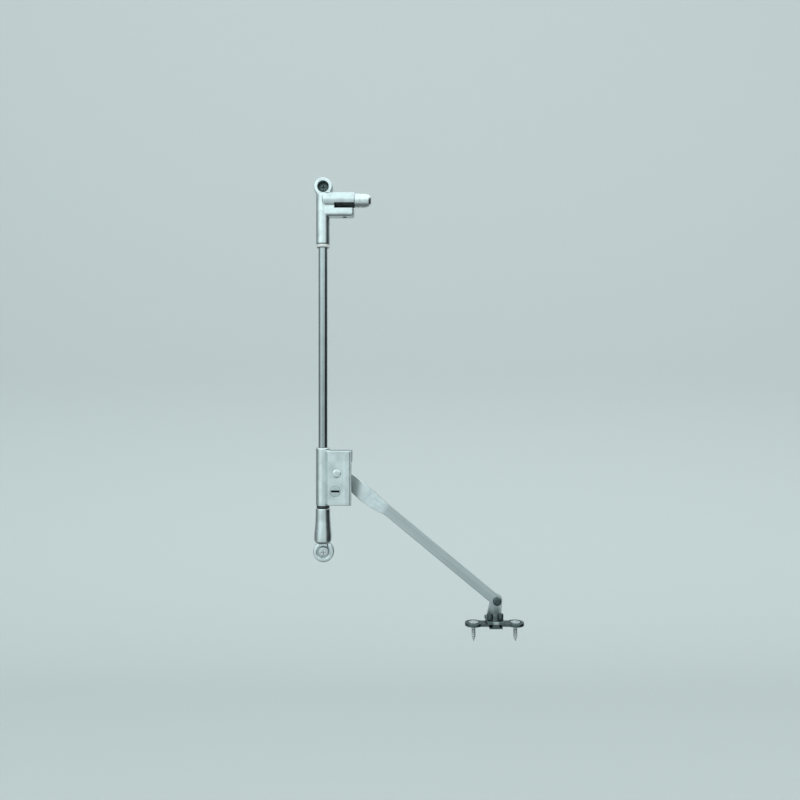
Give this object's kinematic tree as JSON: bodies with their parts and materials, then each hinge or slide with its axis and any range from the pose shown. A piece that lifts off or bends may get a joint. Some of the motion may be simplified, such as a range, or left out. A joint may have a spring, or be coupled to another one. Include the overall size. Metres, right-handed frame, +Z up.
{
  "type": "flap stay",
  "caption": "Stay for a drop-down cabinet flap: braked slider on a guide rod, cranked steel arm, screw-on flap bracket and sideways magnet catch.",
  "frame": {"origin": "on the side panel's face, on the guide rod's line, in the middle of the lower bracket's back pad, 12 mm above the lower panel screw", "axes": "+X towards the cabinet's front edge and the opened flap, +Y into the side panel, +Z up along the guide rod; the stay stands in front of the panel, at negative Y"},
  "size_m": [0.1636, 0.0473, 0.36],
  "materials": {
    "nickel_casting": "nickel-plated zinc die casting, satin bright",
    "zinc_casting": "zinc die casting, satin nickel",
    "dark_casting": "zinc die casting, dark nickel",
    "polished_rod": "ground and bright plated steel",
    "arm_steel": "bright plated flat steel",
    "plate_steel": "plated sheet steel",
    "screw_steel": "zinc plated",
    "dark_screw": "black zinc plated",
    "spring_steel": "bare spring steel",
    "magnet": "sintered magnet",
    "black_plastic": "moulded, matt",
    "brake_lining": "moulded friction lining",
    "buffer_rubber": "moulded rubber",
    "bush_plastic": "moulded acetal"
  },
  "bodies": {
    "rail": {"guide_rod": "polished_rod", "lower_rod_pin": "spring_steel", "upper_rod_pin": "spring_steel", "lower_bracket": "nickel_casting", "upper_bracket": "nickel_casting", "magnet_lock_screw": "dark_screw", "lower_panel_screw": "screw_steel", "upper_panel_screw": "dark_screw", "lower_buffer": "buffer_rubber", "upper_buffer": "bush_plastic"},
    "magnet": {"magnet_carrier": "black_plastic", "magnet_cap": "nickel_casting", "magnet_core": "magnet"},
    "slider": {"slider_housing": "nickel_casting", "lower_bush": "bush_plastic", "upper_bush": "bush_plastic", "slider_back_plate": "plate_steel", "back_plate_screw_1": "dark_screw", "back_plate_screw_2": "dark_screw", "arm_pivot_rivet": "nickel_casting", "arm_thrust_washer": "bush_plastic", "brake_shoe": "brake_lining", "brake_spring": "spring_steel"},
    "brake_adjuster": {"brake_adjuster": "zinc_casting"},
    "arm": {"stay_arm": "arm_steel", "flap_pivot_rivet": "dark_screw", "flap_pivot_washer": "black_plastic"},
    "flap_bracket": {"flap_adapter": "zinc_casting", "adapter_screw_1": "dark_screw", "adapter_screw_2": "dark_screw", "wing_plate": "dark_casting", "wing_screw_1": "screw_steel", "wing_screw_2": "screw_steel"}
  },
  "joints": [
    {"name": "magnet_adjust", "type": "slide", "parent": "rail", "child": "magnet", "axis": [1, 0, 0], "range_m": [-0.002, 0.003]},
    {"name": "slider_slide", "type": "slide", "parent": "rail", "child": "slider", "axis": [0, 0, 1], "range_m": [0, 0.155]},
    {"name": "brake_turn", "type": "hinge", "parent": "slider", "child": "brake_adjuster", "pos_m": [0.0104, -0.0155, 0.0373], "axis": [0, 1, 0], "range_deg": [-45, 45]},
    {"name": "arm_pivot", "type": "hinge", "parent": "slider", "child": "arm", "pos_m": [0.0115, -0.00325, 0.051], "axis": [0, 1, 0], "range_deg": [-38.3, 51.7]},
    {"name": "flap_pivot", "type": "hinge", "parent": "arm", "child": "flap_bracket", "pos_m": [0.13495, -0.016, -0.04649], "axis": [0, 1, 0], "range_deg": [-142, 30]}
  ]
}
